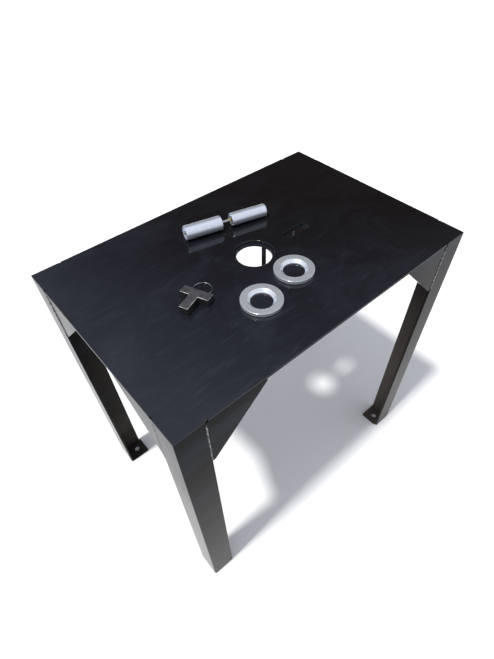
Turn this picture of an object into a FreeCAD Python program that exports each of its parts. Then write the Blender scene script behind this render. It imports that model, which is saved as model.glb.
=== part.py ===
"""Folded steel forge table with its loose kit, as a parametric FreeCAD document.

Frame: origin on the floor under the middle of the table top, +X along the long side,
+Y along the short side towards the back, +Z up. Millimetres.
"""
import FreeCAD, Part
import math
import os

import Sketcher

V = FreeCAD.Vector

DRIVING_SIZES = {
    # table top and its folded legs, all cut from one gauge of plate
    "table_length": 900,
    "table_width": 595,
    "table_height": 900,
    "sheet": 6,
    "flap_width": 70,
    "fold_outer": 2,
    "fold_inner": 1.5,
    "fold_reach": 14,
    "relief_width": 6,
    "relief_depth": 3,
    "top_edge_round": 1,
    "seam_weld_radius": 6,
    "seam_weld_margin": 12,
    # feet bent inwards from the side flaps
    "foot_length": 75,
    "foot_bend_outer": 10,
    "foot_bend_inner": 5,
    "foot_slit": 1,
    "foot_corner": 5,
    "foot_hole_diameter": 20,
    "foot_hole_from_side": 44,
    "foot_hole_from_end": 36,
    # triangular gussets between each flap and the top
    "gusset_length": 150,
    "gusset_blunt": 8,
    "gusset_inset": 1.5,
    "gusset_gap": 2,
    "bead_diameter": 5,
    "bead_margin": 6,
    # round opening, tool slot and the backing plate under them
    "opening_diameter": 100,
    "opening_round": 3,
    "opening_across": -2,
    "opening_back": 1.5,
    "seat_diameter": 90,
    "slot_length": 75,
    "slot_width": 26,
    "slot_offset": 140,
    "slot_corner": 1,
    "slot_round": 1,
    "backing_length": 360,
    "backing_width": 180,
    "backing_offset": 70,
    "backing_thickness": 8,
    "backing_corner": 12,
    "backing_bead_length": 40,
    "hanger_diameter": 12,
    "hanger_length": 130,
    "hanger_across": 49.6,
    "hanger_back": 23,
    # loose pieces stand this far off the top
    "rest_gap": 0.3,
    # flared insert rings
    "ring_diameter": 98,
    "ring_bore": 52,
    "ring_thickness": 10,
    "ring_flare": 7,
    "ring_flare_blend": 1.5,
    "ring_round": 0.8,
    "ring_lead": 1.5,
    "front_ring_across": -103,
    "front_ring_back": -138.5,
    "rear_ring_across": 22,
    "rear_ring_back": -113,
    # pair of cylinders on a rod
    "left_cylinder_diameter": 37,
    "right_cylinder_diameter": 33,
    "cylinder_length": 100,
    "cylinder_gap": 28.5,
    "recess_wall": 3,
    "recess_depth": 12,
    "cylinder_chamfer": 1.5,
    "rod_diameter": 7,
    "rod_margin": 1,
    "bush_diameter": 10,
    "bush_length": 20,
    "bush_flange": 16,
    "flange_thickness": 3,
    "running_clearance": 0.05,
    "side_play": 0.3,
    "stop_diameter": 10,
    "stop_overhang": 8,
    "washer_diameter": 15,
    "washer_thickness": 1.2,
    "nut_diameter": 12.7,
    "nut_thickness": 5,
    "pair_across": 15,
    "pair_back": 132.4,
    "pair_turn": -13.7,
    "pair_tilt": 0.89,
    # tee key with its pull ring
    "key_thickness": 20,
    "key_head_length": 72,
    "key_width": 22,
    "key_stem_length": 41.5,
    "key_stem_shift": -1.2,
    "key_fillet": 2,
    "key_chamfer": 0.8,
    "key_across": -204.3,
    "key_back": -36,
    "key_turn": -67.5,
    "weld_spot_base": 4.2,
    "weld_spot_tip": 2.4,
    "weld_spot_reach": 1.6,
    "weld_spot_shift": 10,
    "weld_spot_height": 17,
    "pull_wire": 2.6,
    "pull_bend": 4,
    "pull_radius": 22.3,
    "pull_centre": 18.4,
    "pull_shift": -4.6,
    "eye_wire": 2,
    "eye_radius": 2.9,
    "eye_height": 4.2,
    "eye_reach": 2,
    "pull_droop": 3.8,
}

UNDERSIDE = "(Sizes.table_height - Sizes.sheet)"
LOOSE_FLOOR = "(Sizes.table_height + Sizes.rest_gap)"

doc = FreeCAD.newDocument("forge_table")
sheet = doc.addObject("Spreadsheet::Sheet", "Sizes")
for row, (alias, value) in enumerate(DRIVING_SIZES.items(), start=1):
    sheet.set(f"A{row}", alias)
    sheet.set(f"B{row}", str(value))
    sheet.setAlias(f"B{row}", alias)
doc.recompute()

nodes = []


def size(alias):
    """A driving dimension as a plain number."""
    return float(getattr(sheet, alias))


def keep(obj, label):
    """Name a finished sub-part and list it for export."""
    obj.Label = label
    nodes.append(obj)
    return obj


def new_body(name):
    return doc.addObject("PartDesign::Body", name)


def origin_plane(body, role):
    return next(f for f in body.Origin.OriginFeatures if f.Role == role)


def new_sketch(body, name, role="XY_Plane", level=None):
    """A sketch on one of the body's own planes, moved along the plane's normal by level."""
    sketch = body.newObject("Sketcher::SketchObject", name)
    sketch.AttachmentSupport = (origin_plane(body, role), [""])
    sketch.MapMode = "FlatFace"
    if level is not None:
        sketch.setExpression(".AttachmentOffset.Base.z", level)
    doc.recompute()
    return sketch


def add_polygon(sketch, corners):
    """A closed outline whose corners are pairs of expressions."""
    points = [V(float(sketch.evalExpression(x)), float(sketch.evalExpression(y)), 0) for x, y in corners]
    first = sketch.GeometryCount
    count = len(points)
    for i in range(count):
        sketch.addGeometry(Part.LineSegment(points[i], points[(i + 1) % count]), False)
    for i in range(count):
        following = first + (i + 1) % count
        sketch.addConstraint(Sketcher.Constraint("Coincident", first + i, 2, following, 1))
    for i, (x, y) in enumerate(corners):
        for kind, text, value in (("DistanceX", x, points[i].x), ("DistanceY", y, points[i].y)):
            index = sketch.addConstraint(Sketcher.Constraint(kind, -1, 1, first + i, 1, value))
            sketch.setExpression(f"Constraints[{index}]", text)


def add_rectangle(sketch, low_x, low_y, high_x, high_y):
    add_polygon(sketch, [(low_x, low_y), (high_x, low_y), (high_x, high_y), (low_x, high_y)])


def add_circle(sketch, x, y, diameter):
    """A circle whose centre and diameter are expressions."""
    centre = V(float(sketch.evalExpression(x)), float(sketch.evalExpression(y)), 0)
    across = float(sketch.evalExpression(diameter))
    circle = sketch.addGeometry(Part.Circle(centre, V(0, 0, 1), across / 2), False)
    rules = (
        (Sketcher.Constraint("DistanceX", -1, 1, circle, 3, centre.x), x),
        (Sketcher.Constraint("DistanceY", -1, 1, circle, 3, centre.y), y),
        (Sketcher.Constraint("Diameter", circle, across), diameter),
    )
    for rule, text in rules:
        index = sketch.addConstraint(rule)
        sketch.setExpression(f"Constraints[{index}]", text)


def pad(body, sketch, length, flip=False):
    feature = body.newObject("PartDesign::Pad", sketch.Name + "_pad")
    feature.Profile = sketch
    feature.setExpression("Length", length)
    feature.Reversed = flip
    doc.recompute()
    return feature


def pocket(body, sketch, depth=None, flip=False):
    """A cut from the sketch: by depth, or through everything when no depth is given."""
    before = body.Shape.Volume
    feature = body.newObject("PartDesign::Pocket", sketch.Name + "_pocket")
    feature.Profile = sketch
    feature.Reversed = flip
    if depth is None:
        feature.Type = "ThroughAll"
        feature.Midplane = True
    else:
        feature.setExpression("Length", depth)
    doc.recompute()
    if not body.Shape.Volume < before - 1e-6:
        raise RuntimeError(f"{feature.Name} removes nothing")
    return feature


def edges_where(body, test):
    """Names of the tip's edges whose two ends and middle all pass the test."""
    found = []
    for number, edge in enumerate(body.Tip.Shape.Edges, start=1):
        middle = edge.valueAt((edge.FirstParameter + edge.LastParameter) / 2)
        ends = [vertex.Point for vertex in edge.Vertexes]
        if all(test(point) for point in ends + [middle]):
            found.append(f"Edge{number}")
    if not found:
        raise RuntimeError(f"no edges found on {body.Name}")
    return found


def dress(body, kind, label, radius, test):
    """A Fillet or Chamfer of the edges that pass the test."""
    base = body.Tip
    names = edges_where(body, test)
    feature = body.newObject(f"PartDesign::{kind}", label)
    feature.Base = (base, names)
    feature.setExpression("Radius" if kind == "Fillet" else "Size", radius)
    doc.recompute()
    return feature


def near(value, target):
    return abs(value - target) < 1e-4


def mirror(source, label, normal):
    """A mirrored copy of a sub-part, across the table's middle."""
    copy = doc.addObject("Part::Mirroring", label)
    copy.Source = source
    copy.Normal = normal
    return keep(copy, label)


def four_corners(front_left, pattern):
    """Name the front left piece and mirror it to the other three corners."""
    across = V(1, 0, 0)
    back = V(0, 1, 0)
    keep(front_left, pattern.format("front_left"))
    front_right = mirror(front_left, pattern.format("front_right"), across)
    mirror(front_left, pattern.format("rear_left"), back)
    mirror(front_right, pattern.format("rear_right"), back)


# ---------------------------------------------------------------- table top

half_length = size("table_length") / 2
half_width = size("table_width") / 2
height = size("table_height")
sheet_thickness = size("sheet")
underside = height - sheet_thickness


def from_corner(side, end, along, back):
    """A point measured inwards from one corner of the table, as a pair of expressions."""
    x = f"{side} * (Sizes.table_length / 2 - ({along}))"
    y = f"{end} * (Sizes.table_width / 2 - ({back}))"
    return (x, y)


top = new_body("TopPlate")
outline = new_sketch(top, "top_outline", level=UNDERSIDE)
add_rectangle(
    outline,
    "-Sizes.table_length / 2", "-Sizes.table_width / 2",
    "Sizes.table_length / 2", "Sizes.table_width / 2",
)
pad(top, outline, "Sizes.sheet")

relief_end = "Sizes.flap_width + Sizes.relief_width"
CORNER_CUT = [
    ("-1", "-1"),
    (relief_end, "-1"),
    (relief_end, "Sizes.relief_depth"),
    ("Sizes.flap_width", "Sizes.relief_depth"),
    ("Sizes.flap_width", "Sizes.fold_reach"),
    ("Sizes.fold_reach", "Sizes.fold_reach"),
    ("Sizes.fold_reach", "Sizes.flap_width"),
    ("Sizes.relief_depth", "Sizes.flap_width"),
    ("Sizes.relief_depth", relief_end),
    ("-1", relief_end),
]
cuts = new_sketch(top, "corner_cuts", level=UNDERSIDE)
for side in (-1, 1):
    for end in (-1, 1):
        add_polygon(cuts, [from_corner(side, end, along, back) for along, back in CORNER_CUT])
pocket(top, cuts)


def cut_openings(body, prefix, diameter):
    """The round opening and the tool slot, cut right through."""
    holes = new_sketch(body, prefix + "_openings", level=UNDERSIDE)
    add_circle(holes, "Sizes.opening_across", "Sizes.opening_back", diameter)
    add_rectangle(
        holes,
        "Sizes.slot_offset - Sizes.slot_length / 2", "-Sizes.slot_width / 2",
        "Sizes.slot_offset + Sizes.slot_length / 2", "Sizes.slot_width / 2",
    )
    pocket(body, holes)


def in_slot(point):
    across = abs(point.x - size("slot_offset")) < size("slot_length") / 2 + 0.01
    return across and abs(point.y) < size("slot_width") / 2 + 0.01


def on_circle(point, diameter, across=0, back=0):
    return near(math.hypot(point.x - across, point.y - back), diameter / 2)


def on_opening(point):
    return on_circle(point, size("opening_diameter"), size("opening_across"), size("opening_back"))


cut_openings(top, "top", "Sizes.opening_diameter")


def slot_corner(point):
    at_end = near(abs(point.x - size("slot_offset")), size("slot_length") / 2)
    return at_end and near(abs(point.y), size("slot_width") / 2)


dress(top, "Fillet", "top_slot_corners", "Sizes.slot_corner", slot_corner)
dress(top, "Fillet", "top_slot_round", "Sizes.slot_round", lambda p: near(p.z, height) and in_slot(p))
dress(
    top, "Fillet", "top_opening_round", "Sizes.opening_round",
    lambda p: near(p.z, height) and on_opening(p),
)
dress(
    top, "Fillet", "top_edges_round", "Sizes.top_edge_round",
    lambda p: near(p.z, height) and (near(abs(p.x), half_length) or near(abs(p.y), half_width)),
)
keep(top, "top_plate")

# ---------------------------------------------------------------- backing plate

backing = new_body("BackingPlate")
outline = new_sketch(backing, "backing_outline", level=UNDERSIDE)
add_rectangle(
    outline,
    "Sizes.backing_offset - Sizes.backing_length / 2", "-Sizes.backing_width / 2",
    "Sizes.backing_offset + Sizes.backing_length / 2", "Sizes.backing_width / 2",
)
pad(backing, outline, "Sizes.backing_thickness", flip=True)
dress(
    backing, "Fillet", "backing_corners", "Sizes.backing_corner",
    lambda p: near(abs(p.y), size("backing_width") / 2)
    and near(abs(p.x - size("backing_offset")), size("backing_length") / 2),
)
cut_openings(backing, "backing", "Sizes.seat_diameter")
dress(backing, "Fillet", "backing_slot_corners", "Sizes.slot_corner", slot_corner)
keep(backing, "backing_plate")


def primitive(kind, label, placement=None, **sizes):
    """A Part primitive whose sizes and placement are expressions."""
    obj = doc.addObject(f"Part::{kind}", label)
    for name, text in sizes.items():
        obj.setExpression(name, text)
    if placement:
        obj.setExpression("Placement", placement)
    return obj


def place(x, y, z, yaw="0", pitch="0", roll="0"):
    return f"placement(vector({x}; {y}; {z}); rotation({yaw}; {pitch}; {roll}))"


def cut(base, tool, label):
    obj = doc.addObject("Part::Cut", label)
    obj.Base = base
    obj.Tool = tool
    return obj


def fuse(parts, label):
    obj = doc.addObject("Part::MultiFuse", label)
    obj.Shapes = parts
    return obj


def stack(parts, label):
    """Separate solids kept together as one node."""
    obj = doc.addObject("Part::Compound", label)
    obj.Links = parts
    return obj


bead_radius = "Sizes.bead_diameter / 2"
beads = []
for end in (-1, 1):
    for along in (0, 1):
        middle = f"Sizes.backing_offset + {along - 0.5} * Sizes.backing_length / 2"
        start = f"{middle} - Sizes.backing_bead_length / 2"
        edge = f"{end} * Sizes.backing_width / 2"
        name = f"backing_bead_{len(beads)}"
        bead = primitive(
            "Cylinder", name, place(start, edge, UNDERSIDE, pitch="90"),
            Radius=bead_radius, Height="Sizes.backing_bead_length",
        )
        beads.append(bead)
solid_plates = stack([top, backing], "plates_for_trimming")
keep(cut(fuse(beads, "backing_beads_full"), solid_plates, "BackingWelds"), "backing_plate_welds")

hanger = primitive(
    "Cylinder", "HangerRod",
    place(
        "Sizes.hanger_across", "Sizes.hanger_back",
        f"{UNDERSIDE} - Sizes.backing_thickness - Sizes.hanger_length",
    ),
    Radius="Sizes.hanger_diameter / 2", Height="Sizes.hanger_length",
)
keep(hanger, "hanger_rod")

# ---------------------------------------------------------------- legs

leg = new_body("Leg")
flaps = new_sketch(leg, "leg_flaps")
FLAP_OUTLINE = [
    ("0", "0"),
    ("Sizes.flap_width", "0"),
    ("Sizes.flap_width", "Sizes.sheet"),
    ("Sizes.sheet", "Sizes.sheet"),
    ("Sizes.sheet", "Sizes.flap_width"),
    ("0", "Sizes.flap_width"),
]
add_polygon(flaps, [from_corner(-1, -1, along, back) for along, back in FLAP_OUTLINE])
pad(leg, flaps, "Sizes.table_height")

fold = new_sketch(leg, "leg_fold", level=UNDERSIDE)
FOLD_OUTLINE = [
    ("0", "0"),
    ("Sizes.flap_width", "0"),
    ("Sizes.flap_width", "Sizes.fold_reach"),
    ("Sizes.fold_reach", "Sizes.fold_reach"),
    ("Sizes.fold_reach", "Sizes.flap_width"),
    ("0", "Sizes.flap_width"),
]
add_polygon(fold, [from_corner(-1, -1, along, back) for along, back in FOLD_OUTLINE])
pad(leg, fold, "Sizes.sheet")

foot = new_sketch(leg, "leg_foot")
tab_low = from_corner(-1, -1, "0", "Sizes.sheet")
tab_high = from_corner(-1, -1, "Sizes.foot_length", "Sizes.flap_width")
add_rectangle(foot, tab_low[0], tab_low[1], tab_high[0], tab_high[1])
hole = from_corner(-1, -1, "Sizes.foot_hole_from_side", "Sizes.foot_hole_from_end")
add_circle(foot, hole[0], hole[1], "Sizes.foot_hole_diameter")
pad(leg, foot, "Sizes.sheet")

left_face = -half_length
front_face = -half_width
dress(
    leg, "Fillet", "leg_foot_inside", "Sizes.foot_bend_inner",
    lambda p: near(p.z, sheet_thickness) and near(p.x, left_face + sheet_thickness),
)
dress(
    leg, "Fillet", "leg_foot_outside", "Sizes.foot_bend_outer",
    lambda p: near(p.z, 0) and near(p.x, left_face),
)
dress(
    leg, "Fillet", "leg_fold_inside", "Sizes.fold_inner",
    lambda p: near(p.z, underside)
    and (near(p.x, left_face + sheet_thickness) or near(p.y, front_face + sheet_thickness))
    and p.x > left_face + sheet_thickness - 0.01 and p.y > front_face + sheet_thickness - 0.01,
)
dress(
    leg, "Fillet", "leg_fold_outside", "Sizes.fold_outer",
    lambda p: (near(p.x, left_face) and near(p.y, front_face))
    or (near(p.z, height) and (near(p.x, left_face) or near(p.y, front_face))),
)
slit = new_sketch(leg, "leg_foot_slit")
slit_low = from_corner(-1, -1, "Sizes.foot_bend_outer", "Sizes.sheet")
slit_high = from_corner(-1, -1, "Sizes.foot_length + 1", "Sizes.sheet + Sizes.foot_slit")
add_rectangle(slit, slit_low[0], slit_low[1], slit_high[0], slit_high[1])
pocket(leg, slit, "Sizes.foot_bend_outer + 1", flip=True)


def foot_tip_corner(point):
    """True on the upright edges at the free end of the front left foot."""
    at_tip = near(point.x, left_face + size("foot_length")) and point.z < sheet_thickness + 0.01
    slit_side = front_face + sheet_thickness + size("foot_slit")
    return at_tip and (near(point.y, front_face + size("flap_width")) or near(point.y, slit_side))


dress(leg, "Fillet", "leg_foot_corners", "Sizes.foot_corner", foot_tip_corner)
four_corners(leg, "leg_{}")

corner_line = from_corner(-1, -1, "Sizes.sheet", "Sizes.sheet")
seam_start = "(Sizes.sheet + Sizes.seam_weld_margin)"
seam_rod = primitive(
    "Cylinder", "leg_seam_rod", place(corner_line[0], corner_line[1], seam_start),
    Radius="Sizes.seam_weld_radius", Height=f"Sizes.table_height - 2 * {seam_start}",
)
four_corners(cut(seam_rod, leg, "LegSeamWeld"), "leg_seam_weld_{}")

# ---------------------------------------------------------------- gussets


GUSSET_TOP = "(Sizes.table_height - Sizes.sheet - Sizes.gusset_gap)"


def gusset(name, role, along_x):
    """A right triangle hanging under the top beside one flap of the front left leg."""
    body = new_body(name)
    corners = [
        ("0", "0"),
        ("Sizes.gusset_length", "0"),
        ("Sizes.gusset_length", "Sizes.gusset_blunt"),
        ("Sizes.gusset_blunt", "Sizes.gusset_length"),
        ("0", "Sizes.gusset_length"),
    ]
    half = "Sizes.table_length / 2" if along_x else "Sizes.table_width / 2"
    front_level = "Sizes.table_width / 2 - Sizes.gusset_inset"
    end_level = "Sizes.gusset_inset - Sizes.table_length / 2"
    sketch = new_sketch(body, name + "_outline", role, front_level if along_x else end_level)
    flap_edge = f"Sizes.flap_width - {half}"
    add_polygon(sketch, [(f"{flap_edge} + {a}", f"{GUSSET_TOP} - {b}") for a, b in corners])
    pad(body, sketch, "Sizes.sheet", flip=along_x)
    return body


front_gusset = gusset("FrontGusset", "XZ_Plane", True)
side_gusset = gusset("SideGusset", "YZ_Plane", False)

bead_foot = f"{GUSSET_TOP} - Sizes.gusset_length + Sizes.bead_margin"
bead_height = "Sizes.gusset_length - 2 * Sizes.bead_margin"
front_seam = from_corner(-1, -1, "Sizes.flap_width", "Sizes.gusset_inset")
side_seam = from_corner(-1, -1, "Sizes.gusset_inset", "Sizes.flap_width")
front_bead = primitive(
    "Cylinder", "front_bead_full", place(front_seam[0], front_seam[1], bead_foot),
    Radius=bead_radius, Height=bead_height,
)
side_bead = primitive(
    "Cylinder", "side_bead_full", place(side_seam[0], side_seam[1], bead_foot),
    Radius=bead_radius, Height=bead_height,
)
corner_solids = stack([leg, front_gusset, side_gusset], "corner_for_trimming")
seam_beads = cut(stack([front_bead, side_bead], "corner_beads_full"), corner_solids, "CornerBeads")
four_corners(front_gusset, "end_gusset_{}")
four_corners(side_gusset, "side_gusset_{}")
four_corners(seam_beads, "gusset_welds_{}")

# ---------------------------------------------------------------- insert rings


def insert_ring(name, label, across, back):
    """A flat ring with a flared mouth, lying loose on the top."""
    body = new_body(name)
    sketch = new_sketch(body, name + "_outline")
    add_circle(sketch, "0", "0", "Sizes.ring_diameter")
    add_circle(sketch, "0", "0", "Sizes.ring_bore")
    pad(body, sketch, "Sizes.ring_thickness")
    thick = size("ring_thickness")
    flare = size("ring_flare")
    bore = size("ring_bore")
    dress(
        body, "Chamfer", name + "_mouth", "Sizes.ring_flare",
        lambda p: near(p.z, thick) and on_circle(p, bore),
    )
    dress(
        body, "Fillet", name + "_mouth_blend", "Sizes.ring_flare_blend",
        lambda p: (near(p.z, thick) and on_circle(p, bore + 2 * flare))
        or (near(p.z, thick - flare) and on_circle(p, bore)),
    )
    dress(
        body, "Fillet", name + "_rim", "Sizes.ring_round",
        lambda p: near(p.z, thick) and on_circle(p, size("ring_diameter")),
    )
    dress(
        body, "Chamfer", name + "_lead", "Sizes.ring_lead",
        lambda p: near(p.z, 0) and on_circle(p, size("ring_diameter")),
    )
    body.setExpression("Placement", place(across, back, LOOSE_FLOOR))
    return keep(body, label)


insert_ring("FrontRing", "front_flared_ring", "Sizes.front_ring_across", "Sizes.front_ring_back")
insert_ring("RearRing", "rear_flared_ring", "Sizes.rear_ring_across", "Sizes.rear_ring_back")

# ---------------------------------------------------------------- cylinder pair

AXLE_RISE = (
    "(Sizes.left_cylinder_diameter * cos(Sizes.pair_tilt)"
    " - Sizes.cylinder_gap * sin(Sizes.pair_tilt)) / 2"
)
INNER_END = "Sizes.cylinder_gap / 2"
OUTER_END = "(Sizes.cylinder_gap / 2 + Sizes.cylinder_length)"
NUT_SEAT = f"({OUTER_END} - Sizes.recess_depth + Sizes.flange_thickness + Sizes.side_play)"


def on_axle(start):
    """A placement on the pair's axis, which dips to the thinner right cylinder."""
    reach = f"({start}) * cos(Sizes.pair_tilt)"
    return place(
        f"Sizes.pair_across + {reach} * cos(Sizes.pair_turn)",
        f"Sizes.pair_back + {reach} * sin(Sizes.pair_turn)",
        f"{LOOSE_FLOOR} + {AXLE_RISE} - ({start}) * sin(Sizes.pair_tilt)",
        yaw="Sizes.pair_turn", pitch="90 + Sizes.pair_tilt",
    )


def rod_shape(label, start, length, diameter, bore=None):
    """A round bar, or a tube when it has a bore, along the pair's axis."""
    spot = on_axle(start)
    solid = primitive("Cylinder", label + "_outer", spot, Radius=f"{diameter} / 2", Height=length)
    if bore is None:
        return solid
    hollow = primitive("Cylinder", label + "_inner", spot, Radius=f"{bore} / 2", Height=length)
    return cut(solid, hollow, label)


def along_pair(side, start, length):
    """The low end of a piece that begins at start on one side of the pair's middle."""
    return start if side > 0 else f"-({start}) - ({length})"


BUSH_BORE = "(Sizes.rod_diameter + 2 * Sizes.running_clearance)"

for side, name in ((-1, "left"), (1, "right")):
    across = f"Sizes.{name}_cylinder_diameter"
    recess_across = f"({across} - 2 * Sizes.recess_wall)"
    cylinder = rod_shape(
        f"{name}_cylinder_bar", along_pair(side, INNER_END, "Sizes.cylinder_length"),
        "Sizes.cylinder_length", across, "Sizes.bush_diameter",
    )
    recesses = []
    bushes = []
    for place_name, face, inward in (("inner", INNER_END, 1), ("outer", OUTER_END, -1)):
        depth = "Sizes.recess_depth"
        low = face if inward > 0 else f"{face} - {depth}"
        recess = rod_shape(
            f"{name}_{place_name}_recess", along_pair(side, low, depth), depth, recess_across,
        )
        recesses.append(recess)
        flange = "Sizes.flange_thickness"
        seat = f"{face} + {inward} * ({depth} - {flange})"
        low = seat if inward > 0 else f"{seat} - {flange}"
        bushes.append(rod_shape(
            f"{name}_{place_name}_flange", along_pair(side, low, flange), flange,
            "Sizes.bush_flange", BUSH_BORE,
        ))
        seat = f"{face} + {inward} * {depth}"
        low = seat if inward > 0 else f"{seat} - Sizes.bush_length"
        length = "Sizes.bush_length"
        bushes.append(rod_shape(
            f"{name}_{place_name}_sleeve", along_pair(side, low, length), length,
            "Sizes.bush_diameter", BUSH_BORE,
        ))
    bored = cut(cylinder, fuse(recesses, f"{name}_recesses"), f"{name}_bored")
    doc.recompute()
    rims = doc.addObject("Part::Chamfer", f"{name}_cylinder_body")
    rims.Base = bored
    radius = size(f"{name}_cylinder_diameter") / 2
    rim_edges = [
        number for number, edge in enumerate(bored.Shape.Edges, start=1)
        if len(edge.Vertexes) == 1 and near(edge.Curve.Radius, radius)
    ]
    chamfer = size("cylinder_chamfer")
    rims.Edges = [(number, chamfer, chamfer) for number in rim_edges]
    keep(rims, f"{name}_cylinder")
    keep(fuse(bushes, f"{name}_bushes_body"), f"{name}_cylinder_bushes")

rod_half = f"({OUTER_END} - Sizes.rod_margin)"
keep(rod_shape("axle_bar", f"-{rod_half}", f"2 * {rod_half}", "Sizes.rod_diameter"), "axle_rod")

washers = []
nuts = []
for side in (-1, 1):
    tag = "left" if side < 0 else "right"
    washers.append(rod_shape(
        f"{tag}_washer", along_pair(side, NUT_SEAT, "Sizes.washer_thickness"), "Sizes.washer_thickness",
        "Sizes.washer_diameter", "Sizes.rod_diameter",
    ))
    nut_start = f"{NUT_SEAT} + Sizes.washer_thickness"
    nut_low = along_pair(side, nut_start, "Sizes.nut_thickness")
    blank = primitive(
        "Prism", f"{tag}_nut_blank", on_axle(nut_low),
        Circumradius="Sizes.nut_diameter / 2", Height="Sizes.nut_thickness",
    )
    blank.Polygon = 6
    thread = rod_shape(f"{tag}_nut_thread", nut_low, "Sizes.nut_thickness", "Sizes.rod_diameter")
    nuts.append(cut(blank, thread, f"{tag}_nut"))
keep(stack(washers, "washers"), "axle_washers")
keep(stack(nuts, "nuts"), "axle_nuts")

STOP_END = f"({INNER_END} + Sizes.recess_depth - Sizes.flange_thickness - Sizes.side_play)"
stop_low = f"({INNER_END} - Sizes.stop_overhang)"
right_stop = rod_shape(
    "right_stop", stop_low, f"{STOP_END} - {stop_low}", "Sizes.stop_diameter", "Sizes.rod_diameter",
)
keep(right_stop, "right_stop_sleeve")
left_length = f"{STOP_END} - {INNER_END} - 1"
keep(
    rod_shape("left_stop", f"-{STOP_END}", left_length, "Sizes.stop_diameter", "Sizes.rod_diameter"),
    "left_stop_sleeve",
)

# ---------------------------------------------------------------- tee key

key = new_body("TeeKey")
tee = new_sketch(key, "tee_outline")
STEM_LEFT = "(Sizes.key_stem_shift - Sizes.key_width / 2)"
STEM_RIGHT = "(Sizes.key_stem_shift + Sizes.key_width / 2)"
STEM_END = "-Sizes.key_width / 2 - Sizes.key_stem_length"
TEE_OUTLINE = [
    ("-Sizes.key_head_length / 2", "-Sizes.key_width / 2"),
    (STEM_LEFT, "-Sizes.key_width / 2"),
    (STEM_LEFT, STEM_END),
    (STEM_RIGHT, STEM_END),
    (STEM_RIGHT, "-Sizes.key_width / 2"),
    ("Sizes.key_head_length / 2", "-Sizes.key_width / 2"),
    ("Sizes.key_head_length / 2", "Sizes.key_width / 2"),
    ("-Sizes.key_head_length / 2", "Sizes.key_width / 2"),
]
add_polygon(tee, TEE_OUTLINE)
pad(key, tee, "Sizes.key_thickness")
key_top = size("key_thickness")
half_stem = size("key_width") / 2
dress(
    key, "Fillet", "tee_inner_corners", "Sizes.key_fillet",
    lambda p: near(abs(p.x - size("key_stem_shift")), half_stem) and near(p.y, -half_stem),
)
dress(key, "Chamfer", "tee_top_edges", "Sizes.key_chamfer", lambda p: near(p.z, key_top))
dress(key, "Chamfer", "tee_bottom_edges", "Sizes.key_chamfer", lambda p: near(p.z, 0))
key_place = place("Sizes.key_across", "Sizes.key_back", LOOSE_FLOOR, yaw="Sizes.key_turn")
key.setExpression("Placement", key_place)
keep(key, "tee_key")


def on_key(x, y, z, roll="0", pitch="0", turn="0"):
    """A placement given in the key's own frame: x along the head, y out of its back face."""
    across = f"Sizes.key_across + ({x}) * cos(Sizes.key_turn) - ({y}) * sin(Sizes.key_turn)"
    back = f"Sizes.key_back + ({x}) * sin(Sizes.key_turn) + ({y}) * cos(Sizes.key_turn)"
    yaw = f"Sizes.key_turn + {turn}"
    return place(across, back, f"{LOOSE_FLOOR} + {z}", yaw=yaw, pitch=pitch, roll=roll)


BACK_FACE = "Sizes.key_width / 2"
spot_place = on_key("Sizes.weld_spot_shift", BACK_FACE, "Sizes.weld_spot_height", roll="-90")
spot = primitive(
    "Cone", "KeyWeldSpot", spot_place, Height="Sizes.weld_spot_reach",
    Radius1="Sizes.weld_spot_base / 2", Radius2="Sizes.weld_spot_tip / 2",
)
keep(spot, "key_weld_spot")

eye = primitive(
    "Torus", "eye_loop",
    on_key("Sizes.pull_shift", f"{BACK_FACE} + Sizes.eye_reach", "Sizes.eye_height", pitch="90"),
    Radius1="Sizes.eye_radius", Radius2="Sizes.eye_wire / 2",
)
keep(cut(eye, key, "PullEye"), "pull_eye")

# the pull ring is a D of round wire, drawn with its straight bar along X and then hung in the eye
ARC_GAP = "(Sizes.pull_radius - Sizes.pull_bend)"
BEND_RISE = "(Sizes.pull_centre - Sizes.pull_bend)"
BEND_SHIFT = f"sqrt({ARC_GAP} ^ 2 - {BEND_RISE} ^ 2)"
BEND_ANGLE = f"(asin({BEND_RISE} / {ARC_GAP}) / 1 deg)"
WIRE_RADIUS = "Sizes.pull_wire / 2"
pull_parts = [
    primitive(
        "Torus", "pull_arc", place("0", "Sizes.pull_centre", "0", yaw=f"-{BEND_ANGLE}"),
        Radius1="Sizes.pull_radius", Radius2=WIRE_RADIUS, Angle3=f"180 + 2 * {BEND_ANGLE}",
    ),
    primitive(
        "Torus", "pull_right_bend", place(BEND_SHIFT, "Sizes.pull_bend", "0", yaw="-90"),
        Radius1="Sizes.pull_bend", Radius2=WIRE_RADIUS, Angle3=f"90 - {BEND_ANGLE}",
    ),
    primitive(
        "Torus", "pull_left_bend",
        place(f"-{BEND_SHIFT}", "Sizes.pull_bend", "0", yaw=f"180 + {BEND_ANGLE}"),
        Radius1="Sizes.pull_bend", Radius2=WIRE_RADIUS, Angle3=f"90 - {BEND_ANGLE}",
    ),
    primitive(
        "Cylinder", "pull_bar", place(f"-{BEND_SHIFT}", "0", "0", pitch="90"),
        Radius=WIRE_RADIUS, Height=f"2 * {BEND_SHIFT}",
    ),
]
pull = fuse(pull_parts, "PullRing")
eye_middle = f"{BACK_FACE} + Sizes.eye_reach"
hung = on_key("Sizes.pull_shift", eye_middle, "Sizes.eye_height", roll="-Sizes.pull_droop")
pull.setExpression("Placement", hung)
keep(pull, "pull_ring")

# ---------------------------------------------------------------- export

doc.recompute()
for obj in doc.Objects:
    if "Invalid" in obj.State or "Error" in obj.State:
        raise RuntimeError(f"{obj.Label} did not build: {obj.State}")
for obj in nodes:
    if not obj.Shape.isValid() or not obj.Shape.Solids:
        raise RuntimeError(f"{obj.Label} is not a valid solid")

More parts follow.
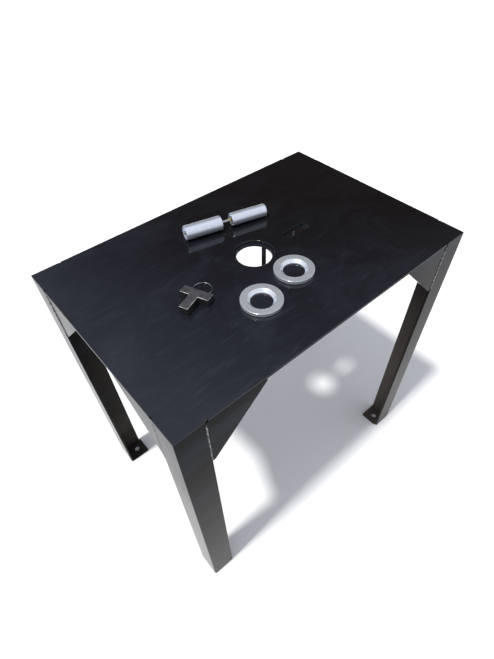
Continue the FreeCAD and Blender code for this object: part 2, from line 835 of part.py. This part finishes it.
os.makedirs("parts", exist_ok=True)
for obj in nodes:
    obj.Shape.exportStep(f"parts/{obj.Label}.step")
print(f"{len(nodes)} parts written")
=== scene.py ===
"""Forge table of folded black plate, with its insert rings, roller pair and tee key.

Metres throughout. The origin is on the floor under the middle of the table,
+X along the long side, +Y towards the back, +Z up.
"""
import math

import bpy
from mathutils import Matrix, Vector


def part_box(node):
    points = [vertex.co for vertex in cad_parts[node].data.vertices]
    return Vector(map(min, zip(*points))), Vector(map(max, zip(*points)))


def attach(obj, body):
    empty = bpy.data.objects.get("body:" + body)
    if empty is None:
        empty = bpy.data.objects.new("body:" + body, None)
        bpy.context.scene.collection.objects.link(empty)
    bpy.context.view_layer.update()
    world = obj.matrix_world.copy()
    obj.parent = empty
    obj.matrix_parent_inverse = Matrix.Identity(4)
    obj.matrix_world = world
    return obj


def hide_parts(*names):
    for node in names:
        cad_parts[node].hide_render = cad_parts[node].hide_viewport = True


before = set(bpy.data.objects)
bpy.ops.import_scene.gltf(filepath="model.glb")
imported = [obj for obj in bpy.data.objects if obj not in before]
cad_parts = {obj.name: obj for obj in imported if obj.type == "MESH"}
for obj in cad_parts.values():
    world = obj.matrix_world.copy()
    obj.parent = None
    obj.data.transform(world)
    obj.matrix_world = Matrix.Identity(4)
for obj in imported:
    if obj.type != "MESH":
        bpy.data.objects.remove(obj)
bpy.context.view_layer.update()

# ---------------------------------------------------------------- places read from the frame

CORNERS = ("front_left", "front_right", "rear_left", "rear_right")
TABLE_LOW, TABLE_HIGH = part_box("top_plate")
TABLE_TOP = TABLE_HIGH.z
KEY_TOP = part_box("tee_key")[1].z


def middle(node):
    """The middle of a frame part's box."""
    low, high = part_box(node)
    return low.lerp(high, 0.5)


AXLE_MIDDLE = middle("axle_rod")
AXLE_LINE = (middle("right_cylinder") - middle("left_cylinder")).normalized()

# ---------------------------------------------------------------- camera, light and floor

CAMERA_PLACE = (-0.5664, -0.6540, 1.5746)
CAMERA_TILT = (40.06, 1.10, -41.13)
CAMERA_LENS = 23.77
SENSOR = 36.0
FRAME_SHIFT = (-0.0067, 0.0241)


def add_camera():
    """The main view, from a standing height at the front left corner."""
    camera = bpy.data.cameras.new("bench_view")
    camera.sensor_fit = "AUTO"
    camera.sensor_width = SENSOR
    camera.lens = CAMERA_LENS
    camera.shift_x, camera.shift_y = FRAME_SHIFT
    camera.clip_start = 0.01
    camera.clip_end = 100
    holder = bpy.data.objects.new("bench_view", camera)
    holder.location = CAMERA_PLACE
    holder.rotation_euler = [math.radians(angle) for angle in CAMERA_TILT]
    bpy.context.scene.collection.objects.link(holder)
    bpy.context.scene.camera = holder


def add_sun(name, direction, strength, spread, colour):
    """A sun shining along direction, with spread in degrees softening its shadows."""
    light = bpy.data.lights.new(name, "SUN")
    light.energy = strength
    light.angle = math.radians(spread)
    light.color = colour
    holder = bpy.data.objects.new(name, light)
    holder.rotation_euler = Vector(direction).to_track_quat("-Z", "Y").to_euler()
    bpy.context.scene.collection.objects.link(holder)


BACK_RIGHT = (0.64, 0.768, 0.0)
SURROUND_TONES = (
    (0.0, (0.72, 0.74, 0.80, 1)),
    (0.35, (0.60, 0.63, 0.70, 1)),
    (0.62, (0.22, 0.22, 0.24, 1)),
    (0.78, (0.09, 0.08, 0.08, 1)),
)


def set_world():
    """A pale studio surround that falls off to dark towards the back right."""
    world = bpy.data.worlds.new("studio")
    world.use_nodes = True
    tree = world.node_tree
    facing = tree.nodes.new("ShaderNodeVectorMath")
    facing.operation = "DOT_PRODUCT"
    facing.inputs[1].default_value = BACK_RIGHT
    tree.links.new(tree.nodes.new("ShaderNodeTexCoord").outputs["Generated"], facing.inputs[0])
    ramp = tree.nodes.new("ShaderNodeValToRGB")
    steps = ramp.color_ramp.elements
    for _ in SURROUND_TONES[2:]:
        steps.new(0.5)
    for step, (spot, tone) in zip(steps, SURROUND_TONES):
        step.position = spot
        step.color = tone
    tree.links.new(facing.outputs["Value"], ramp.inputs[0])
    background = tree.nodes["Background"]
    tree.links.new(ramp.outputs[0], background.inputs["Color"])
    background.inputs["Strength"].default_value = 1.0
    bpy.context.scene.world = world
    bpy.context.scene.view_settings.view_transform = "Standard"


# ---------------------------------------------------------------- material building blocks


class Finish:
    """A material under construction, with short ways to add its nodes."""

    def __init__(self, name):
        self.material = bpy.data.materials.new(name)
        self.material.use_nodes = True
        self.tree = self.material.node_tree
        self.shader = self.tree.nodes["Principled BSDF"]
        self.place = self.add("ShaderNodeTexCoord").outputs["Object"]

    def add(self, kind, **settings):
        made = self.tree.nodes.new(kind)
        for name, value in settings.items():
            setattr(made, name, value)
        return made

    def feed(self, socket, value):
        """Link an output to a socket, or set the socket to a plain value."""
        if isinstance(value, bpy.types.NodeSocket):
            self.tree.links.new(value, socket)
        elif isinstance(value, tuple) and len(value) == 3 and socket.type == "RGBA":
            socket.default_value = (*value, 1)
        else:
            socket.default_value = value

    def set(self, **inputs):
        """Feed the surface shader's inputs, named with underscores for spaces."""
        for name, value in inputs.items():
            self.feed(self.shader.inputs[name.replace("_", " ")], value)

    def math(self, operation, first, second=0.0, clamp=False):
        made = self.add("ShaderNodeMath", operation=operation, use_clamp=clamp)
        self.feed(made.inputs[0], first)
        self.feed(made.inputs[1], second)
        return made.outputs[0]

    def vector(self, operation, first, second):
        made = self.add("ShaderNodeVectorMath", operation=operation)
        self.feed(made.inputs[0], first)
        self.feed(made.inputs[1], second)
        return made

    def axis(self, name, source=None):
        """One component of a position."""
        split = self.add("ShaderNodeSeparateXYZ")
        self.feed(split.inputs[0], source or self.place)
        return split.outputs[name]

    def stretch(self, scale, source=None, turn=0.0):
        """The position, turned about Z and scaled along each axis."""
        made = self.add("ShaderNodeMapping")
        self.feed(made.inputs["Vector"], source or self.place)
        made.inputs["Scale"].default_value = scale
        made.inputs["Rotation"].default_value = (0, 0, math.radians(turn))
        return made.outputs[0]

    def noise(self, scale, detail=3.0, source=None, rough=0.5, twist=0.0):
        made = self.add("ShaderNodeTexNoise")
        self.feed(made.inputs["Vector"], source or self.place)
        made.inputs["Scale"].default_value = scale
        made.inputs["Detail"].default_value = detail
        made.inputs["Roughness"].default_value = rough
        made.inputs["Distortion"].default_value = twist
        return made.outputs[0]

    def spots(self, scale, radius, source=None):
        """1 inside small scattered dots, 0 elsewhere."""
        made = self.add("ShaderNodeTexVoronoi")
        self.feed(made.inputs["Vector"], source or self.place)
        made.inputs["Scale"].default_value = scale
        return self.spread(made.outputs["Distance"], radius, radius * 0.6, 0.0, 1.0)

    def spread(self, value, low, high, to_low=0.0, to_high=1.0):
        """Map a value from one span to another, held at the ends."""
        made = self.add("ShaderNodeMapRange", clamp=True)
        for socket, number in zip(made.inputs, (value, low, high, to_low, to_high)):
            self.feed(socket, number)
        return made.outputs[0]

    def blend(self, factor, first, second):
        """A mix of two colours."""
        made = self.add("ShaderNodeMix", data_type="RGBA")
        self.feed(made.inputs[0], factor)
        self.feed(made.inputs[6], first)
        self.feed(made.inputs[7], second)
        return made.outputs[2]

    def bump(self, height, distance, strength=1.0, under=None):
        made = self.add("ShaderNodeBump")
        made.inputs["Distance"].default_value = distance
        made.inputs["Strength"].default_value = strength
        self.feed(made.inputs["Height"], height)
        if under is not None:
            self.feed(made.inputs["Normal"], under)
        return made.outputs[0]


# blue-grey for the top's painted reflection and for its smudges and wipe marks
REFLECTION_AND_SMUDGE_BLUE = (0.022, 0.026, 0.037)


def paint_black():
    """Black paint, glossy on the flat top and duller on the legs, with painted reflections and dust
    specks. The top is painted lighter and blue-grey at the front left and towards the left end, and
    near black at the back right, with blue-grey smudges and wipe marks that fade towards the back
    right; the legs are painted lighter and browner towards the feet, with bluish upright bands and a
    lighter brown on the right legs away from their front faces.
    """
    finish = Finish("gloss_black")
    across = finish.axis("X")
    back = finish.axis("Y")
    up = finish.axis("Z")
    flat = finish.spread(up, TABLE_TOP - 0.0021, TABLE_TOP - 0.0008)
    run = finish.math("ADD", across, finish.math("MULTIPLY", back, 0.9))
    painted_reflection_fade = finish.spread(run, -0.6, 0.35)

    clouds = finish.noise(5.5, 6.0, rough=0.62, twist=0.8)
    # blue-grey smudges, faded towards the back right along with the painted reflection
    smudge = finish.spread(clouds, 0.46, 0.72, 0.0, 0.6)
    smudge = finish.math("MULTIPLY", smudge, finish.spread(run, -0.5, 0.35, 1.0, 0.15))
    # painted reflection: the top is lighter and blue-grey at the front left and towards the left end,
    # and near black at the back right
    top_tone = finish.blend(painted_reflection_fade, (0.0092, 0.0106, 0.0158), (0.0022, 0.0016, 0.0017))
    top_tone = finish.blend(finish.spread(across, -0.12, -0.45, 0.0, 0.38), top_tone, REFLECTION_AND_SMUDGE_BLUE)
    top_tone = finish.blend(smudge, top_tone, REFLECTION_AND_SMUDGE_BLUE)
    # blue-grey wipe marks, faded towards the back right along with the painted reflection
    for turn, strength in ((35, 0.45), (-40, 0.35)):
        wipes = finish.noise(9.0, 4.0, finish.stretch((1.0, 5.0, 1.0), turn=turn), twist=1.5)
        fade = finish.spread(run, -0.5, 0.2, strength, 0.06)
        wipe = finish.math("MULTIPLY", finish.spread(wipes, 0.55, 0.72), fade)
        top_tone = finish.blend(wipe, top_tone, REFLECTION_AND_SMUDGE_BLUE)

    # painted reflection on the legs: lighter and browner towards the feet, in patches
    low = finish.spread(up, 0.85, 0.10, 0.0, 1.0)
    painted_low_reflection = finish.spread(finish.noise(6.0, 5.0), 0.25, 0.6, 0.45, 1.0)
    painted_low_reflection = finish.math("MULTIPLY", low, painted_low_reflection)
    side_tone = finish.blend(painted_low_reflection, (0.0028, 0.003, 0.004), (0.038, 0.033, 0.028))
    # painted reflection: bluish upright bands on the legs
    painted_band_reflection = finish.noise(3.2, 2.0, finish.stretch((0.3, 0.3, 3.0)))
    painted_band_reflection = finish.spread(painted_band_reflection, 0.5, 0.66, 0.0, 0.5)
    side_tone = finish.blend(painted_band_reflection, side_tone, (0.024, 0.027, 0.036))
    # painted reflection: a lighter brown on the right legs and gussets away from their front faces,
    # stronger towards the feet
    painted_right_leg_reflection = finish.spread(back, TABLE_LOW.y + 0.005, TABLE_LOW.y + 0.007)
    painted_right_leg_reflection = finish.math("MULTIPLY", painted_right_leg_reflection, finish.spread(across, 0.2, 0.43))
    painted_right_leg_reflection = finish.math("MULTIPLY", painted_right_leg_reflection, finish.spread(up, 0.75, 0.30))
    side_tone = finish.blend(painted_right_leg_reflection, side_tone, (0.088, 0.076, 0.068))

    tone = finish.blend(flat, side_tone, top_tone)
    dusty_area = finish.spread(finish.noise(4.0), 0.5, 0.62)
    dust = finish.math("MULTIPLY", finish.spots(83.0, 0.055), dusty_area)
    tone = finish.blend(finish.math("MULTIPLY", dust, 0.35), tone, (0.25, 0.26, 0.29))
    finish.set(Base_Color=tone)

    top_sheen = finish.spread(clouds, 0.35, 0.75, 0.07, 0.22)
    side_sheen = finish.spread(clouds, 0.3, 0.75, 0.10, 0.22)
    sheen = finish.add("ShaderNodeMix", data_type="FLOAT")
    for socket, value in zip(sheen.inputs[0:1] + sheen.inputs[2:4], (flat, side_sheen, top_sheen)):
        finish.feed(socket, value)
    finish.set(Roughness=sheen.outputs[0])
    finish.set(Specular_IOR_Level=finish.spread(flat, 0.0, 1.0, 0.03, 0.46))
    peel = finish.bump(finish.noise(160.0, 2.0), 0.00004, 0.5)
    finish.set(Normal=finish.bump(finish.noise(7.0, 2.0), 0.0006, 0.5, under=peel))
    return finish.material


def paint_beads():
    """Painted weld ripples, rubbed grey on their crests."""
    finish = Finish("painted_weld")
    rub = finish.spread(finish.noise(220.0, 4.0), 0.42, 0.62)
    finish.set(Base_Color=finish.blend(rub, (0.03, 0.03, 0.031), (0.34, 0.335, 0.33)))
    finish.set(Roughness=finish.spread(finish.noise(90.0), 0.3, 0.7, 0.3, 0.5))
    finish.set(Normal=finish.bump(finish.noise(500.0, 3.0), 0.0003, 0.6))
    return finish.material


def turned(name, tone, groove_place, scale, roughness, metal):
    """Turned aluminium: fine grooves that follow groove_place, which is one number per point."""
    finish = Finish(name)
    where = groove_place(finish)
    line = finish.add("ShaderNodeCombineXYZ")
    finish.feed(line.inputs[0], where)
    grooves = finish.noise(scale, 3.0, line.outputs[0], rough=0.7)
    blotch = finish.noise(38.0, 4.0)
    light = tuple(min(1.0, channel * 1.14) for channel in tone)
    dark = tuple(channel * 0.82 for channel in tone)
    shade = finish.blend(finish.spread(grooves, 0.3, 0.7), dark, light)
    shade = finish.blend(finish.spread(blotch, 0.45, 0.75, 0.0, 0.35), shade, dark)
    finish.set(Base_Color=shade, Metallic=metal)
    finish.set(Roughness=finish.spread(blotch, 0.3, 0.7, roughness[0], roughness[1]))
    finish.set(Normal=finish.bump(grooves, 0.00003, 0.5))
    return finish.material


def round_from(node):
    """Distance from a ring's own centre line."""
    centre = middle(node)

    def place(finish):
        offset = finish.vector("SUBTRACT", finish.place, tuple(centre))
        flat = finish.vector("MULTIPLY", offset.outputs[0], (1, 1, 0))
        return finish.vector("LENGTH", flat.outputs[0], (0, 0, 0)).outputs["Value"]

    return place


def along_axle(finish):
    """Distance along the roller pair's rod."""
    offset = finish.vector("SUBTRACT", finish.place, tuple(AXLE_MIDDLE))
    return finish.vector("DOT_PRODUCT", offset.outputs[0], tuple(AXLE_LINE)).outputs["Value"]


def plain_metal(name, tone, worn, metal, roughness, grain):
    """A metal with uneven tone and fine surface grain."""
    finish = Finish(name)
    blotch = finish.noise(60.0, 5.0, rough=0.65)
    finish.set(Base_Color=finish.blend(finish.spread(blotch, 0.35, 0.68), tone, worn))
    finish.set(Metallic=metal)
    finish.set(Roughness=finish.spread(blotch, 0.3, 0.7, roughness[0], roughness[1]))
    finish.set(Normal=finish.bump(finish.noise(grain, 3.0), 0.0001, 0.5))
    return finish


def ground_key_steel():
    """Dull dark bar steel, darker on its sides than on its top face, with a painted highlight: a thin
    bright band along the chamfered top edges.
    """
    dark, worn = (0.07, 0.07, 0.077), (0.105, 0.105, 0.115)
    finish = plain_metal("ground_bar_steel", dark, worn, 0.6, (0.34, 0.5), 700.0)
    tone = finish.shader.inputs["Base Color"].links[0].from_socket
    height = finish.axis("Z")
    # painted highlight: a thin bright band on the chamfers just under the top face, broken up by noise
    above = finish.spread(height, KEY_TOP - 0.0012, KEY_TOP - 0.0007)
    below = finish.spread(height, KEY_TOP - 0.0001, KEY_TOP - 0.00002, 1.0, 0.0)
    painted_edge_highlight = finish.math("MULTIPLY", above, below)
    painted_edge_highlight = finish.math("MULTIPLY", painted_edge_highlight, finish.spread(finish.noise(120.0), 0.35, 0.6, 0.25, 1.0))
    sides = finish.spread(height, KEY_TOP - 0.0014, KEY_TOP - 0.0009, 0.0, 1.0)
    tone = finish.blend(sides, (0.03, 0.03, 0.03), tone)
    finish.set(Base_Color=finish.blend(painted_edge_highlight, tone, (0.6, 0.6, 0.6)))
    return finish.material


# ---------------------------------------------------------------- welded seams

BEAD = 0.0024
BEAD_STEP = 0.0038
BACKING_BEAD_LENGTH = 0.04
# the leg seams' ripples, against the width of the seam
SEAM_FULLNESS = 0.62
SEAM_STEP = 1.1
WANDER = bpy.data.textures.new("hand_wander", "CLOUDS")
WANDER.noise_scale = 0.012


def ripple_bead(name, start, end, radius, step, sway):
    """A run of overlapping weld ripples from start to end that wanders along the sway axis."""
    run = end - start
    count = max(2, int(run.length / step))
    bpy.ops.object.select_all(action="DESELECT")
    bpy.ops.mesh.primitive_uv_sphere_add(segments=12, ring_count=8, radius=radius, location=start)
    bead = bpy.context.object
    bead.name = name
    bpy.ops.object.transform_apply(location=True, rotation=True, scale=True)
    row = bead.modifiers.new("ripples", "ARRAY")
    row.use_relative_offset = False
    row.use_constant_offset = True
    row.constant_offset_displace = run / count
    row.count = count + 1
    bpy.ops.object.modifier_apply(modifier=row.name)
    wander = bead.modifiers.new("hand_wander", "DISPLACE")
    wander.texture = WANDER
    wander.texture_coords = "GLOBAL"
    wander.direction = sway
    wander.strength = radius * 1.2
    bpy.ops.object.modifier_apply(modifier=wander.name)
    bpy.ops.object.shade_smooth()
    return bead


def weld_node(node, runs, radius, step):
    """Rippled beads in place of one frame weld node."""
    name = f"{node}_ripples"
    beads = [ripple_bead(name, start, end, radius, step, sway) for start, end, sway in runs]
    bpy.ops.object.select_all(action="DESELECT")
    for bead in beads:
        bead.select_set(True)
    bpy.context.view_layer.objects.active = beads[0]
    if len(beads) > 1:
        bpy.ops.object.join()
    whole = beads[0]
    whole.data.materials.append(PAINTED_WELD)
    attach(whole, "table")
    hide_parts(node)


def seam_line(node, radius):
    """The upright line through the middle of a weld node's box, held inside its ends."""
    low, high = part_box(node)
    x, y = middle(node).x, middle(node).y
    return Vector((x, y, low.z + radius)), Vector((x, y, high.z - radius))


def weld_gussets():
    """Each corner has an upright bead at the end gusset and one at the side gusset."""
    for corner in CORNERS:
        low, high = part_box(f"gusset_welds_{corner}")
        end_low, end_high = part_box(f"end_gusset_{corner}")
        side_low, side_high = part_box(f"side_gusset_{corner}")
        left = end_low.x < 0
        front = end_low.y < 0
        end_seam_x = end_low.x if left else end_high.x
        end_seam_y = end_low.y if front else end_high.y
        side_seam_x = side_low.x if left else side_high.x
        side_seam_y = side_low.y if front else side_high.y
        runs = []
        for x, y, sway in ((end_seam_x, end_seam_y, "X"), (side_seam_x, side_seam_y, "Y")):
            runs.append((Vector((x, y, low.z + BEAD)), Vector((x, y, high.z - BEAD)), sway))
        weld_node(f"gusset_welds_{corner}", runs, BEAD, BEAD_STEP)


def weld_leg_seams():
    """One bead up the inside corner of each leg."""
    for corner in CORNERS:
        node = f"leg_seam_weld_{corner}"
        low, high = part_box(node)
        radius = (high.x - low.x) * SEAM_FULLNESS
        start, end = seam_line(node, radius)
        weld_node(node, [(start, end, "Z")], radius, radius * SEAM_STEP)


def weld_backing():
    """Four short beads along the backing plate's long edges."""
    low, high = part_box("backing_plate_welds")
    plate_low, plate_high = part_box("backing_plate")
    runs = []
    for y in (plate_low.y, plate_high.y):
        for x in (low.x, high.x - BACKING_BEAD_LENGTH):
            start = Vector((x + BEAD, y, high.z - BEAD))
            end = Vector((x + BACKING_BEAD_LENGTH - BEAD, y, high.z - BEAD))
            runs.append((start, end, "Y"))
    weld_node("backing_plate_welds", runs, BEAD, BEAD_STEP)


# ---------------------------------------------------------------- the scene


def add_floor():
    """A plain pale studio floor."""
    bpy.ops.object.select_all(action="DESELECT")
    bpy.ops.mesh.primitive_plane_add(size=40, location=(0, 0, 0))
    floor = bpy.context.object
    floor.name = "studio_floor"
    finish = Finish("pale_floor")
    finish.set(Base_Color=(0.86, 0.86, 0.86), Roughness=0.9)
    floor.data.materials.append(finish.material)


add_camera()
set_world()
add_floor()
add_sun("left_sun", (0.387, -0.010, -0.922), 3.0, 5.0, (1.0, 0.99, 0.97))

BLACK_PAINT = paint_black()
PAINTED_WELD = paint_beads()
weld_gussets()
weld_leg_seams()
weld_backing()

RING_TONE = (0.80, 0.84, 0.93)
CYLINDER_TONE = (0.74, 0.80, 0.90)


def turned_ring(name, node):
    return turned(name, RING_TONE, round_from(node), 480.0, (0.2, 0.32), 0.78)


def turned_roller(name):
    return turned(name, CYLINDER_TONE, along_axle, 420.0, (0.24, 0.36), 0.78)


BRASS = plain_metal(
    "dull_brass", (0.45, 0.36, 0.2), (0.58, 0.5, 0.34), 0.9, (0.3, 0.45), 500.0,
).material
ROD = plain_metal(
    "bright_rod", (0.42, 0.43, 0.45), (0.6, 0.61, 0.63), 1.0, (0.2, 0.35), 600.0,
).material
WIRE = plain_metal(
    "bright_wire", (0.22, 0.23, 0.25), (0.42, 0.43, 0.46), 1.0, (0.12, 0.25), 800.0,
).material
FINISHES = {
    "front_flared_ring": turned_ring("turned_front_ring", "front_flared_ring"),
    "rear_flared_ring": turned_ring("turned_rear_ring", "rear_flared_ring"),
    "left_cylinder": turned_roller("turned_left_roller"),
    "right_cylinder": turned_roller("turned_right_roller"),
    "axle_rod": ROD,
    "axle_washers": ROD,
    "axle_nuts": ROD,
    "left_stop_sleeve": BRASS,
    "right_stop_sleeve": BRASS,
    "left_cylinder_bushes": BRASS,
    "right_cylinder_bushes": BRASS,
    "tee_key": ground_key_steel(),
    "key_weld_spot": WIRE,
    "pull_eye": WIRE,
    "pull_ring": WIRE,
}
for name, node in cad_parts.items():
    node.data.materials.clear()
    node.data.materials.append(FINISHES.get(name, BLACK_PAINT))
